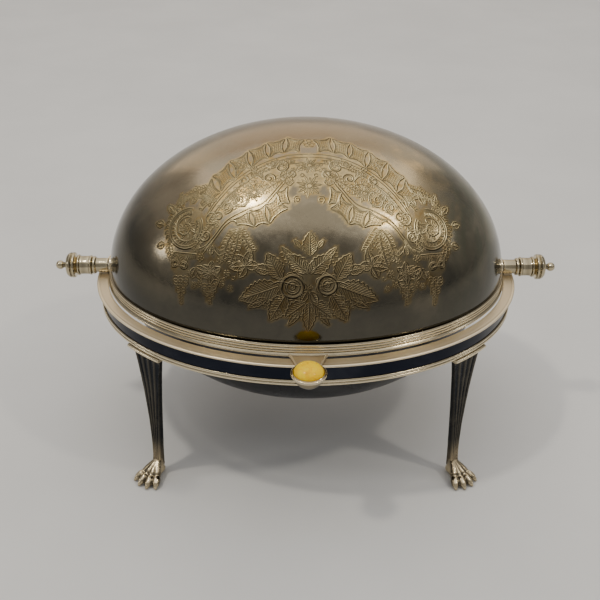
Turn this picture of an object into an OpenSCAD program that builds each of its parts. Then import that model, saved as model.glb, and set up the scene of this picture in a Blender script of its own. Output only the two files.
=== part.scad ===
// Roll top chafer: an oval stand ring on four paw-footed legs carries a fixed water pan with a
// serving dish, and a half spheroid dome that rolls about a side-to-side axis. Opened, the dome
// swings down behind, through the gap between the ring and the pan, until it hangs below the pan.
// Millimetres. X runs along the rolling axis, -Y is the front, and Z = 0 is the table top.

/* [Rolling axis] */
// Height of the rolling axis above the table
axis_z = 126; // [120:1:140]
// Radius of the pivot pins
pin_r = 3; // [2.5:0.1:3.5]
// Radial running clearance of everything that turns on the pins
pin_fit = 0.05; // [0.02:0.01:0.1]

/* [Dome] */
// Half length of the dome along the rolling axis
dome_a = 141.8; // [141:0.1:142]
// Radius of the dome around the rolling axis
dome_r = 107.5; // [106:0.1:108]
// Thickness of the dome's sheet
dome_t = 1.2; // [0.8:0.1:1.4]
// Radius of each of the three reeds round the dome's rim
dome_reed_r = 1.4; // [1.2:0.1:1.5]

/* [Stand ring] */
// Half length of the ring, measured over its flange
ring_a = 152.2; // [152:0.1:154]
// Half width of the ring, measured over its flange
ring_b = 120.7; // [120:0.1:123]
// Width of the flat flange
flange_w = 7.6; // [6:0.1:7.6]
// Thickness of the flat flange
flange_t = 1.8; // [1.2:0.1:2]
// Height of the ring from its lowest reed to the flange's face
ring_h = 17.2; // [15:0.1:18]
// Drop of the flange's face below the rolling axis
ring_drop = 5.2; // [5:0.1:6]
// Radius of the two reeds along the ring's lower edge
ring_reed_r = 1.1; // [1:0.1:1.6]

/* [Legs] */
// Distance of each leg from the middle of the ring, along the rolling axis
leg_x = 108; // [100:1:114]
// Length of a leg's cap plate along the ring
cap_w = 30; // [28:1:36]
// Height of a leg's cap plate
cap_h = 2.8; // [2.4:0.2:5]
// Distance of a cap plate's middle from its leg's, towards the nearer end of the ring
cap_shift = 2.5; // [0:0.5:3]
// Half width of a leg just under its cap plate
leg_top_w = 12.2; // [10:0.1:14]
// Half width of a leg at its ankle
ankle_w = 2.7; // [2.4:0.1:4]
// Height of the ankle above the table
ankle_z = 16; // [14:1:24]
// Reach of the toes from the leg's centre
toe_reach = 15; // [12:0.5:17]
// Turn of each paw towards the front or the rear, away from square to the ring
paw_aim = 9; // [0:1:15]
// Lean of each foot along the ring, towards the middle of its front or rear
foot_lean = 3; // [0:0.5:4]

/* [Handles] */
// Radius of the plain tube between the ring and the handle
tube_r = 4.5; // [4:0.1:5]
// Radius of the handle's barrel
barrel_r = 7.1; // [6.5:0.1:8]
// Largest radius of the finial's cap
finial_r = 9.3; // [8:0.1:10]
// Distance of the finial's ball from the middle of the dish
ball_x = 180; // [179:0.5:183]
// Radius of the finial's ball
ball_r = 3.2; // [2.8:0.1:3.6]

/* [Pan, dish and drainer] */
// Half length of the water pan along the rolling axis
pan_a = 131; // [129:0.5:131]
// Radius of the water pan around the rolling axis
pan_r = 97; // [94:0.5:98]
// Thickness of the pan's, the dish's and the drainer's sheet
sheet_t = 1.2; // [0.8:0.1:1.4]
// Drop of the pan's rim below the rolling axis
pan_drop = 6; // [6:0.5:8]
// Depth of the serving dish
dish_depth = 44; // [36:1:46]
// Pitch of the holes in the drainer
hole_pitch = 15; // [12:1:20]

/* [Thumbpiece] */
// Distance of the button from the rolling axis
button_y = 131; // [130:0.5:134]
// Radius of the cup that holds the button
cup_r = 11.4; // [11:0.1:12]
// Radius of the button
button_r = 9.3; // [9:0.1:9.6]
// Height of the button above its cup
button_h = 5.6; // [4:0.1:6]

/* [Hidden] */
$fn = 128;
PIN_BORE_R = pin_r + pin_fit;
FIXED_FIT = 0.02;
EPS = 0.01;
FAR = 400;
RIM_REEDS = 3;
RING_REEDS = 2;
axis_y = (button_y + cup_r - ring_b) / 2;
ring_top = axis_z - ring_drop;
ring_bottom = ring_top - ring_h;
ring_in_a = ring_a - flange_w;
ring_in_b = ring_b - flange_w;
band_a = ring_a - 3.4;
band_b = ring_b - 3.4;
band_t = 1.2;
reeds_h = 2 * RING_REEDS * ring_reed_r;
band_low = ring_bottom + reeds_h;
rim_low = -4.5;
rim_a = dome_a + 1.9;
rim_b = dome_r + 4.1;
leg_y = band_b * sqrt(1 - pow(leg_x / band_a, 2));
leg_turn = atan2(leg_y / pow(band_b, 2), leg_x / pow(band_a, 2));
leg_top = ring_bottom - cap_h;
toe_r = 3.3;
toe_turns = [-28, -9, 9, 28];
tube_x = ring_in_a + 0.1;
collar_x = 153.4;
barrel_x = 156.4;
barrel_end_x = 165.4;
finial_x = 168.4;
cap_x = 174.6;
neck_r = 1.9;
pin_in_x = 124.4;
pin_out_x = 172;
ear_r = 8;
ear_t = 2;
wire_r = 1.3;
pan_rim_k = sqrt(1 - pow(pan_drop / pan_r, 2));
pan_rim_a = pan_a * pan_rim_k;
pan_rim_b = pan_r * pan_rim_k;
nut_t = 2.6;
nut_r = 4.6;
dish_top_a = 123;
dish_low_a = 104;
dish_k = 0.72;
dish_rim_low = -pan_drop + wire_r;
dish_floor = dish_rim_low - dish_depth;
drainer_lift = 7;
drainer_a = 96;
hole_r = 2.5;
lug_w = 12.6;
lug_y = rim_b + 0.9;
lug_low = rim_low;
lug_t = 1.6;
cup_low = -13;
cup_top = -2.2;

SILVER = "silver";
TARNISHED = "darkkhaki";
DARK = "dimgray";
STEEL = "lightslategray";
AMBER = "goldenrod";

// Points along a circular arc in a turned part's half section, as [radius, height]
function arc(c, r, from, to, steps = 6) =
    [for (i = [0:steps]) let(t = from + (to - from) * i / steps) [c[0] + r * cos(t), c[1] + r * sin(t)]];

// ---- Placing ----

// The point midway along the rolling axis, from which the dome, the pan and the handles are laid out
module at_axis() translate([0, axis_y, axis_z]) children();

// The right hand piece as drawn, or its mirror image on the left
module on_side(side) mirror([side < 0 ? 1 : 0, 0, 0]) children();

// Turns a part drawn along Z so that it lies along the rolling axis, starting at x
module along_axis(x) translate([x, 0, 0]) rotate([0, 90, 0]) children();

// A leg's own frame on the table: +X points out of the ring, and Y runs along it
module at_leg(side, end)
    translate([side * leg_x, axis_y + end * leg_y, 0])
    rotate([0, 0, atan2(end * sin(leg_turn), side * cos(leg_turn))]) children();

// ---- Basic shapes ----

module oval(a, b, h) scale([1, b / a, 1]) cylinder(r = a, h = h);

module spheroid(a, r) scale([a / r, 1, 1]) sphere(r);

// A flat band that stands round an oval: its inner half length and half width, thickness and height
module oval_band(a, b, t, h) difference() {
    oval(a + t, b + t, h);
    translate([0, 0, -1]) oval(a, b, h + 2);
}

// An oval disc whose edge carries a stack of half-round reeds from its lower face up
module reeded_disc(a, b, reed_r, count, low)
    translate([0, 0, low]) scale([1, b / a, 1]) rotate_extrude() polygon(concat(
        [[0, 0]],
        [for (i = [0:count - 1]) each arc([a, reed_r * (1 + 2 * i)], reed_r, -72, 72)],
        [[0, 2 * reed_r * count]]
    ));

// The outside of the dome's rim
module rim_form() reeded_disc(rim_a - dome_reed_r, rim_b - dome_reed_r, dome_reed_r, RIM_REEDS, rim_low);

module upper_half() translate([-FAR / 2, -FAR / 2, 0]) cube([FAR, FAR, FAR / 2]);

module lower_half(top = 0) translate([-FAR / 2, -FAR / 2, top - FAR / 2]) cube([FAR, FAR, FAR / 2]);

// Holes for both pivot pins
module pin_bores(r)
    for (side = [-1, 1]) on_side(side) along_axis(pin_in_x - 5) cylinder(r = r, h = 60);

// ---- Stand ----

module rim_ring() color(SILVER) translate([0, axis_y, 0]) {
    translate([0, 0, ring_top - flange_t]) oval_band(ring_in_a, ring_in_b, flange_w, flange_t);
    translate([0, 0, band_low])
        oval_band(band_a - band_t, band_b - band_t, band_t, ring_top - flange_t - band_low);
}

// The thick wire along the band's lower edge, which is drawn with two reeds on its outer side
module rim_reeds() color(SILVER) translate([0, axis_y, ring_bottom])
    oval_band(band_a - band_t, band_b - band_t, band_t + ring_reed_r, reeds_h);

module leg_cap(side, end) color(SILVER) intersection() {
    translate([0, axis_y, leg_top]) difference() {
        oval(band_a + 2.4, band_b + 2.4, cap_h);
        translate([0, 0, -1]) oval(band_a - 5, band_b - 5, cap_h + 2);
    }
    at_leg(side, end) translate([-15, -cap_w / 2 - side * end * cap_shift, leg_top])
        cube([30, cap_w, cap_h]);
}

// One level of a leg: its height, half width, the place of its outer face, its depth, and the
// sideways lean of the foot
module leg_level(z, half, face, depth, lean)
    translate([face - depth, lean * (1 - z / leg_top) - half, z]) cube([depth, 2 * half, 0.4]);

module leg_blade(lean) {
    hull() {
        leg_level(leg_top - 0.4, leg_top_w, 0, 4.6, lean);
        leg_level(72, leg_top_w * 0.61, 0, 5, lean);
    }
    hull() {
        leg_level(72, leg_top_w * 0.61, 0, 5, lean);
        leg_level(46, leg_top_w * 0.36, 0.6, 5.4, lean);
    }
    hull() {
        leg_level(46, leg_top_w * 0.36, 0.6, 5.4, lean);
        leg_level(ankle_z, ankle_w, 2, 6, lean);
    }
}

// The toes spread from under the ankle, which joins the leg's blade to the sole
module paw(aim, lean) {
    hull() {
        leg_level(ankle_z, ankle_w, 2, 6, lean);
        leg_level(8, 5, 5.5, 8, lean);
        leg_level(0, 5.2, 6, 8, lean);
    }
    translate([0, lean, 0]) for (turn = toe_turns) rotate([0, 0, aim + turn]) hull() {
        translate([4, 0, toe_r + 2.6]) sphere(toe_r, $fn = 16);
        translate([toe_reach, 0, toe_r - 0.4]) sphere(toe_r, $fn = 16);
    }
}

module leg(side, end) color(TARNISHED) at_leg(side, end) difference() {
    union() {
        leg_blade(side * end * foot_lean);
        paw(side * end * paw_aim, side * end * foot_lean);
    }
    lower_half();
}

// ---- Pivots and handles ----

module pivot_saddle(side) color(SILVER) at_axis() on_side(side) difference() {
    translate([tube_x + 0.8, -3.2, -ring_drop]) cube([6, 6.4, ring_drop - 0.6]);
    along_axis(tube_x) cylinder(r = tube_r, h = 20);
}

module pivot_pin(side) color(STEEL) at_axis() on_side(side)
    along_axis(pin_in_x) cylinder(r = pin_r, h = pin_out_x - pin_in_x);

module pivot_spacer(side) color(STEEL) at_axis() on_side(side) difference() {
    along_axis(pan_a) cylinder(r = 4.2, h = 4.6);
    spheroid(pan_a, pan_r);
    pin_bores(pin_r + FIXED_FIT);
}

module handle_barrel(side) color(SILVER) at_axis() on_side(side) along_axis(0) rotate_extrude()
    polygon(concat(
        [[pin_r + FIXED_FIT, tube_x], [tube_r, tube_x]],
        arc([tube_r, collar_x + 1.5], 1.5, -90, 60),
        arc([barrel_r - 0.8, barrel_x + 0.9], 0.9, -80, 75),
        [[barrel_r - 0.4, barrel_x + 2.2], [barrel_r - 0.2, barrel_end_x]],
        arc([barrel_r - 0.3, barrel_end_x + 0.8], 0.8, -75, 75),
        [[barrel_r - 1, finial_x], [pin_r + FIXED_FIT, finial_x]]
    ));

module handle_finial(side) color(SILVER) at_axis() on_side(side) difference() {
    union() {
        along_axis(0) rotate_extrude() polygon(concat(
            [[0, finial_x]],
            arc([finial_r - 1.2, finial_x + 1.2], 1.2, -90, 0),
            arc([finial_r - 4.2, cap_x - 3.6], 4.2, 10, 58),
            [[neck_r + 1.2, cap_x + 0.4], [neck_r, cap_x + 1.6], [neck_r, ball_x], [0, ball_x]]
        ));
        translate([ball_x, 0, 0]) sphere(ball_r);
    }
    along_axis(finial_x - 1) cylinder(r = pin_r + FIXED_FIT, h = pin_out_x - finial_x + 1.2);
}

// ---- Water pan ----

module water_pan() color(DARK) at_axis() difference() {
    intersection() {
        spheroid(pan_a, pan_r);
        lower_half(-pan_drop);
    }
    spheroid(pan_a - sheet_t, pan_r - sheet_t);
}

// Soldered round the outside of the pan's rim, which it strengthens
module pan_rim_wire() color(SILVER) at_axis()
    translate([0, 0, -pan_drop - wire_r])
        oval_band(pan_rim_a + FIXED_FIT, pan_rim_b + FIXED_FIT, 2 * wire_r, 2 * wire_r);

// An ear that lies against the inside of the pan and stands up round the pivot pin
module pan_hanger(side) color(DARK) at_axis() on_side(side) difference() {
    intersection() {
        spheroid(pan_a - sheet_t, pan_r - sheet_t);
        union() {
            translate([110, -ear_r, -18]) cube([30, 2 * ear_r, 18]);
            along_axis(110) cylinder(r = ear_r, h = 30);
        }
    }
    spheroid(pan_a - sheet_t - ear_t, pan_r - sheet_t - ear_t);
    pin_bores(pin_r + FIXED_FIT);
    hanger_rivet_places() along_axis(0) cylinder(r = 1.2 + FIXED_FIT, h = 20, center = true);
}

// Two rivets hold each ear to the pan's wall
module hanger_rivet_places()
    for (y = [-5, 5]) translate([128, y, -13.5]) children();

module hanger_rivets() color(STEEL) at_axis() for (side = [-1, 1]) on_side(side)
    intersection() {
        hanger_rivet_places() {
            along_axis(-4) cylinder(r = 1.2, h = 8);
            along_axis(-3.7) cylinder(r = 2, h = 1.2);
        }
        spheroid(pan_a - sheet_t, pan_r - sheet_t);
    }

module pan_nuts() color(STEEL) at_axis() for (side = [-1, 1]) on_side(side) difference() {
    along_axis(pin_in_x + 0.4) cylinder(r = nut_r, h = nut_t, $fn = 6);
    pin_bores(pin_r + FIXED_FIT);
}

// ---- Serving dish and drainer ----

module dish_cone(top_a, low_a, h) scale([1, dish_k, 1]) cylinder(r1 = low_a, r2 = top_a, h = h);

module serving_dish() color(SILVER) at_axis() difference() {
    union() {
        translate([0, 0, dish_floor]) dish_cone(dish_top_a, dish_low_a, dish_depth);
        translate([0, 0, dish_rim_low]) oval(pan_rim_a + 2 * wire_r, pan_rim_b + 2 * wire_r, sheet_t);
    }
    translate([0, 0, dish_floor + sheet_t])
        dish_cone(dish_top_a - sheet_t, dish_low_a - sheet_t, dish_depth + EPS);
    for (side = [-1, 1]) on_side(side)
        translate([dish_top_a + 0.6, -ear_r - 1.5, dish_rim_low - EPS]) cube([20, 2 * ear_r + 3, 3]);
}

module drainer_plate() color(SILVER) at_axis()
    translate([0, 0, dish_floor + sheet_t + drainer_lift]) difference() {
        oval(drainer_a, drainer_a * dish_k, sheet_t);
        for (i = [-5:5], j = [-3:3])
            if (pow(i * hole_pitch / drainer_a, 2) + pow(j * hole_pitch / drainer_a / dish_k, 2) < 0.75)
                translate([i * hole_pitch, j * hole_pitch, -1]) cylinder(r = hole_r, h = 4, $fn = 24);
    }

module drainer_feet() color(SILVER) at_axis()
    for (x = [-1, 1], y = [-1, 1])
        translate([x * 52, y * 38, dish_floor + sheet_t]) cylinder(r1 = 3.4, r2 = 2.4, h = drainer_lift);

// ---- Dome ----

module dome_shell() color(TARNISHED) at_axis() difference() {
    intersection() {
        spheroid(dome_a, dome_r);
        upper_half();
    }
    spheroid(dome_a - dome_t, dome_r - dome_t);
    pin_bores(PIN_BORE_R);
}

module dome_rim() color(SILVER) at_axis() difference() {
    rim_form();
    oval(dome_a + FIXED_FIT, dome_r + FIXED_FIT, FAR);
    translate([0, 0, rim_low - 1]) oval(dome_a - dome_t, dome_r - dome_t, FAR);
    pin_bores(PIN_BORE_R);
}

// A bush soldered inside each end of the dome, running on the pivot pin
module dome_boss(side) color(SILVER) at_axis() on_side(side) difference() {
    along_axis(136) cylinder(r = 6.6, h = dome_a - dome_t - 136.4);
    pin_bores(PIN_BORE_R);
}

// ---- Thumbpiece ----

module thumb_lug() color(SILVER) at_axis() difference() {
    translate([0, 0, lug_low]) linear_extrude(lug_t) polygon([
        [-lug_w, -rim_b + 2], [-lug_w, -lug_y],
        [-cup_r * 0.62, -button_y + cup_r * 0.5], [cup_r * 0.62, -button_y + cup_r * 0.5],
        [lug_w, -lug_y], [lug_w, -rim_b + 2]
    ]);
    rim_form();
    translate([0, -button_y, cup_low - 1]) cylinder(r = cup_r, h = 20);
}

module button_cup() color(SILVER) at_axis() translate([0, -button_y, 0]) rotate_extrude()
    polygon(concat(
        [[0.9, cup_low]],
        [for (t = [20:14:90]) [(cup_r - 2.2) * sin(t), cup_low + (lug_low - cup_low) * (1 - cos(t))]],
        [[cup_r, lug_low + 0.4], [cup_r, cup_top], [button_r + 0.3, cup_top]],
        [[button_r + 0.3, cup_top - 2], [0.9, cup_top - 2]]
    ));

module button() color(AMBER) at_axis() translate([0, -button_y, cup_top - 2]) {
    cylinder(r = button_r, h = 2);
    translate([0, 0, 2]) intersection() {
        scale([1, 1, button_h / button_r]) sphere(button_r);
        upper_half();
    }
}

// Passes up through the cup's base and is flush with the button's seat
module button_rivet() color(STEEL) at_axis() translate([0, -button_y, cup_low - 0.8]) {
    cylinder(r = 0.88, h = cup_top - 2 - cup_low + 0.8);
    cylinder(r = 1.9, h = 0.8);
}

rim_ring();
rim_reeds();
leg_cap(-1, -1);  // leg_cap_front_left
leg_cap(1, -1);  // leg_cap_front_right
leg_cap(-1, 1);  // leg_cap_rear_left
leg_cap(1, 1);  // leg_cap_rear_right
leg(-1, -1);  // leg_front_left
leg(1, -1);  // leg_front_right
leg(-1, 1);  // leg_rear_left
leg(1, 1);  // leg_rear_right
pivot_saddle(-1);  // pivot_saddle_left
pivot_saddle(1);  // pivot_saddle_right
pivot_pin(-1);  // pivot_pin_left
pivot_pin(1);  // pivot_pin_right
pivot_spacer(-1);  // pivot_spacer_left
pivot_spacer(1);  // pivot_spacer_right
handle_barrel(-1);  // handle_barrel_left
handle_barrel(1);  // handle_barrel_right
handle_finial(-1);  // handle_finial_left
handle_finial(1);  // handle_finial_right
water_pan();
pan_rim_wire();
pan_hanger(-1);  // pan_hanger_left
pan_hanger(1);  // pan_hanger_right
hanger_rivets();
pan_nuts();
serving_dish();
drainer_plate();
drainer_feet();
dome_shell();
dome_rim();
dome_boss(-1);  // dome_boss_left
dome_boss(1);  // dome_boss_right
thumb_lug();
button_cup();
button();
button_rivet();
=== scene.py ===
import math

import bmesh
import bpy
import numpy as np
from mathutils import Matrix, Vector


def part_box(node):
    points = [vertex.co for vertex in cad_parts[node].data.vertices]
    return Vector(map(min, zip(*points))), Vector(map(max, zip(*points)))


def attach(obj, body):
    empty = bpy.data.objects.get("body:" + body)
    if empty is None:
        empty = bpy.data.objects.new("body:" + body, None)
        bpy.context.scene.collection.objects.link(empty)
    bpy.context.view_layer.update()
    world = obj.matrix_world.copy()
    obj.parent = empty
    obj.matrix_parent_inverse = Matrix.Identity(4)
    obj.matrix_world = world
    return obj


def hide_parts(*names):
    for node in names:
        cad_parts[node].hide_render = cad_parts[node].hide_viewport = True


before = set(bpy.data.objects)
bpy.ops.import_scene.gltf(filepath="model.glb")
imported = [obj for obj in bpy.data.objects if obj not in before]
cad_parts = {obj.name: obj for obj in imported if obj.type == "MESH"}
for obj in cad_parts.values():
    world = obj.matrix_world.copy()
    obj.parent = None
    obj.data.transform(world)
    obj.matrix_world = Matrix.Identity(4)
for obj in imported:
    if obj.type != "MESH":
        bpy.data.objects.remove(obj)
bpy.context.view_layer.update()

# Shapes are laid out in millimetres from the point midway along the rolling axis
MM = 0.001
shell_low, shell_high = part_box("dome_shell")
ORIGIN = np.array([0.0, (shell_low.y + shell_high.y) / 2, shell_low.z])
DOME_A = shell_high.x / MM
DOME_R = (shell_high.z - shell_low.z) / MM
# The height of what the object stands on
TABLE = -ORIGIN[2] / MM
SIDES = {"left": -1, "right": 1}
ENDS = {"front": -1, "rear": 1}
TAU = 2 * math.pi
# Points round each swept oval and each turned shape
OVAL_STEPS = 420
TURN_STEPS = 96


# ---------------------------------------------------------------- node materials

class Field:
    """A value or colour in a material's node tree, which takes part in arithmetic."""

    def __init__(self, tree, socket=None):
        self.tree = tree
        self.socket = socket

    def node(self, kind, inputs, output=0, **settings):
        """A new node's output. Each input is a constant or another Field."""
        made = self.tree.nodes.new(kind)
        for key, value in settings.items():
            setattr(made, key, value)
        for key, value in inputs.items():
            if isinstance(value, Field):
                self.tree.links.new(value.socket, made.inputs[key])
            else:
                made.inputs[key].default_value = value
        return Field(self.tree, made.outputs[output])

    def math(self, operation, other, clamp=False):
        return self.node("ShaderNodeMath", {0: self, 1: other}, operation=operation, use_clamp=clamp)

    def __add__(self, other):
        return self.math("ADD", other)

    def __mul__(self, other):
        return self.math("MULTIPLY", other)

    def noise(self, scale, detail, rough, twist=0.0):
        return self.node("ShaderNodeTexNoise", {
            "Vector": self, "Scale": scale, "Detail": detail, "Roughness": rough, "Distortion": twist,
        }, "Fac")

    def stretched(self, factors):
        return self.node("ShaderNodeVectorMath", {0: self, 1: factors}, operation="MULTIPLY")

    def away_from(self, centre):
        return self.node("ShaderNodeVectorMath", {0: self, 1: centre}, "Value", operation="DISTANCE")

    def parts(self):
        made = self.node("ShaderNodeSeparateXYZ", {0: self}).socket.node
        return [Field(self.tree, socket) for socket in made.outputs]

    def attribute(self, name):
        return self.node("ShaderNodeAttribute", {}, "Fac", attribute_name=name)

    def remap(self, low, high, to_low=0.0, to_high=1.0, smooth=True):
        return self.node("ShaderNodeMapRange", {
            "Value": self, "From Min": low, "From Max": high, "To Min": to_low, "To Max": to_high,
        }, interpolation_type="SMOOTHSTEP" if smooth else "LINEAR")

    def ramp(self, stops):
        made = self.node("ShaderNodeValToRGB", {"Fac": self}, "Color")
        elements = made.socket.node.color_ramp.elements
        while len(elements) < len(stops):
            elements.new(0.5)
        for element, (at, colour) in zip(elements, stops):
            element.position = at
            element.color = (*colour, 1.0)
        return made

    def blend(self, share, other, mode="MIX"):
        """This colour with a share of another, which is a Field or a constant."""
        other = other if isinstance(other, Field) else (*other, 1.0)
        return self.node("ShaderNodeMix", {0: share, 6: self, 7: other}, 2, data_type="RGBA", blend_type=mode)


def bump(heights, distance):
    """Stacks heights, each a (field, strength) pair, into one normal."""
    normal = None
    for height, strength in heights:
        inputs = {"Height": height, "Strength": strength, "Distance": distance}
        if normal is not None:
            inputs["Normal"] = normal
        normal = height.node("ShaderNodeBump", inputs, "Normal")
    return normal


def material(name, build, metallic=1.0, **constants):
    made = bpy.data.materials.new(name)
    made.use_nodes = True
    tree = made.node_tree
    bsdf = tree.nodes["Principled BSDF"]
    bsdf.inputs["Metallic"].default_value = metallic
    for key, value in constants.items():
        bsdf.inputs[key.replace("_", " ")].default_value = value
    colour, rough, normal = build(Field(tree).node("ShaderNodeTexCoord", {}, "Object"))
    for key, field in (("Base Color", colour), ("Roughness", rough), ("Normal", normal)):
        tree.links.new(field.socket, bsdf.inputs[key])
    return made


def plated(bright, middle, dark, rough, wear_sheen_and_shade=None, scale=60.0, mottle=1.0, grain=1.0):
    """Old silver plate: cloudy tarnish and fine scratches; where a point attribute is named, crests turn
    bright where it is high, partly rubbed wear and partly a painted highlight, and hollows turn dark where it
    is low, a painted shade.
    """
    def build(place):
        cloud = place.noise(scale, 5.0, 0.6, 0.4)
        wide = place.noise(scale * 0.22, 3.0, 0.5)
        speck = place.noise(1400.0, 2.0, 0.7)
        scratch = place.stretched((300.0, 2600.0, 900.0)).noise(1.0, 2.0, 0.6)
        tone = (cloud * 0.6 + wide * 0.4).remap(0.3, 0.7, 0.5 - 0.34 * mottle, 0.5 + 0.34 * mottle, False)
        colour = tone.ramp([(0.1, dark), (0.5, middle), (0.9, bright)])
        if wear_sheen_and_shade:
            crest = place.attribute(wear_sheen_and_shade).math(
                "ADD", cloud.remap(0.3, 0.7, -0.16 * mottle, 0.16 * mottle, False), True)
            colour = colour.blend(0.72, dark).blend(crest, colour.blend(0.68, bright))
        colour = colour.blend(speck.remap(0.66, 0.78, 0.0, 0.4 * mottle), dark)
        roughness = cloud.remap(0.3, 0.7, *rough).math(
            "ADD", scratch.remap(0.5, 0.75, 0.0, 0.08 * grain), True)
        return colour, roughness, bump([(scratch, 0.06 * grain), (cloud, 0.05 * grain)], 0.0003)
    return build


def leg_skin(place):
    """Dark flutes, rubbed to a golden brown where they run out into the ankle."""
    colour, rough, normal = plated(
        (0.240, 0.215, 0.165), (0.022, 0.026, 0.034), (0.006, 0.008, 0.012), (0.20, 0.32), "wear_sheen_and_shade", 60.0, 0.4
    )(place)
    height = place.parts()[2]
    share = height.remap(0.034, 0.012) * place.attribute("wear_sheen_and_shade").remap(0.0, 0.8, 0.12, 0.85, False)
    return colour.blend(share, (0.66, 0.53, 0.33)), rough, normal


def dome_skin(place):
    """The dome's outside: cloudy warm grey above, with golden and brown patches and greenish streaks at one
    end; darker and glossy near its rim, a painted dark reflection, with painted shade low on its left end,
    and a lighter gold ground under the engraving that darkens towards the rim with the painted reflection."""
    across, _, height = place.parts()
    wide = place.noise(16.0, 4.0, 0.6, 0.6)
    cloud = place.noise(62.0, 5.0, 0.62, 0.5)
    fine = place.noise(420.0, 3.0, 0.6)
    speck = place.noise(900.0, 2.0, 0.5)
    streak = place.stretched((240.0, 60.0, 12.0)).noise(1.0, 4.0, 0.6, 0.3)
    colour = (wide * 0.5 + cloud * 0.5).ramp([
        (0.30, (0.150, 0.132, 0.092)), (0.44, (0.235, 0.205, 0.145)),
        (0.56, (0.310, 0.268, 0.190)), (0.72, (0.430, 0.360, 0.245)),
    ])
    colour = colour.blend(fine.remap(0.4, 0.75, 0.0, 0.30), (0.36, 0.315, 0.225))
    for centre, reach, tint, strength in (
        ((0.066, -0.036, 0.212), 0.044, (0.70, 0.54, 0.31), 0.80),
        ((-0.084, -0.030, 0.205), 0.048, (0.54, 0.42, 0.27), 0.55),
        ((-0.030, -0.010, 0.236), 0.055, (0.34, 0.265, 0.195), 0.45),
        ((0.040, 0.080, 0.205), 0.060, (0.48, 0.38, 0.24), 0.50),
        ((-0.070, 0.085, 0.180), 0.055, (0.38, 0.32, 0.21), 0.50),
        ((0.000, 0.030, 0.232), 0.095, (0.33, 0.245, 0.145), 0.72),
        ((0.000, -0.061, 0.206), 0.046, (0.205, 0.170, 0.112), 0.70),
    ):
        away = place.away_from(centre) + cloud.remap(0.3, 0.7, -0.016, 0.016, False)
        colour = colour.blend(away.remap(reach, reach * 0.2) * strength, tint)
    green = across.remap(0.070, 0.118) * streak.remap(0.42, 0.62, 0.15, 0.8)
    colour = colour.blend(green, (0.215, 0.220, 0.150))
    low = height + wide.remap(0.3, 0.7, -0.012, 0.012, False)
    # Painted shade on the lower part of the left end
    shade = across.remap(-0.072, -0.122) * low.remap(0.225, 0.165)
    colour = colour.blend(shade * 0.80, (0.040, 0.034, 0.024))
    # Painted dark reflection: the colour darkens towards the rim in two steps
    dark = low.remap(0.200, 0.152)
    darker = low.remap(0.172, 0.140)
    colour = colour.blend(dark * 0.66, (0.078, 0.072, 0.052))
    colour = colour.blend(darker * 0.60, (0.036, 0.038, 0.039))
    cut = place.attribute("engraved")
    # The engraved ground is lighter gold, dark brown towards the rim and gold near the top: painted light
    # that follows the dome's painted dark reflection
    ground = low.remap(0.140, 0.215, smooth=False).ramp([
        (0.0, (0.165, 0.132, 0.078)), (0.4, (0.310, 0.245, 0.132)), (1.0, (0.600, 0.455, 0.215)),
    ])
    ground = ground.blend(cloud.remap(0.38, 0.66), (0.62, 0.50, 0.27), "MULTIPLY")
    colour = colour.blend(cut * fine.remap(0.38, 0.62, 0.62, 0.92), ground)
    colour = colour.blend(speck.remap(0.68, 0.76, 0.0, 0.5), (0.09, 0.08, 0.058))
    rough = cloud.remap(0.3, 0.7, 0.17, 0.26).math("SUBTRACT", dark * 0.09, True)
    rough = rough.math("ADD", cut * 0.07, True)
    return colour, rough, bump([(wide, 0.07), (fine, 0.04)], 0.0010)


def cut_lines(place):
    """Bright-cut lines in painted light: the flank that faces the light is a painted highlight, the other
    flank and the groove floor are painted shadow, and both grow lighter towards the top of the dome.
    """
    height = place.parts()[2]
    wide = place.noise(22.0, 3.0, 0.6)
    cloud = place.noise(150.0, 4.0, 0.6)
    low = height + wide.remap(0.3, 0.7, -0.012, 0.012, False)
    colour = low.remap(0.140, 0.222, smooth=False).ramp([
        (0.0, (0.360, 0.285, 0.165)), (0.35, (0.560, 0.455, 0.270)),
        (0.62, (0.980, 0.830, 0.480)), (1.0, (0.900, 0.740, 0.420)),
    ])
    colour = colour.blend(cloud.remap(0.35, 0.7, 0.0, 0.45), (0.42, 0.31, 0.16), "MULTIPLY")
    # 'edge' holds the painted light across each line: high on the lit flank, lower on the shadowed flank and
    # zero on the groove floor
    edge = place.attribute("edge")
    # Painted shadow for the groove floor and shadowed flank, lighter towards the top of the dome
    groove_shadow = low.remap(0.160, 0.215, smooth=False).ramp([
        (0.0, (0.022, 0.018, 0.011)), (1.0, (0.062, 0.047, 0.024)),
    ])
    colour = groove_shadow.blend(edge.remap(0.1, 0.9, smooth=False), colour)
    return colour, cloud.remap(0.3, 0.7, 0.32, 0.46), bump([(cloud, 0.15)], 0.0002)


def amber(place):
    swirl = place.noise(130.0, 4.0, 0.6, 2.2)
    cloud = place.noise(420.0, 3.0, 0.6, 0.5)
    colour = swirl.ramp([
        (0.30, (0.82, 0.42, 0.002)), (0.46, (0.96, 0.59, 0.004)), (0.66, (1.00, 0.70, 0.010)),
    ])
    colour = colour.blend(cloud.remap(0.45, 0.75, 0.0, 0.25), (1.00, 0.72, 0.03))
    return colour, cloud.remap(0.3, 0.7, 0.14, 0.26), bump([(swirl, 0.08)], 0.0004)


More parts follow.
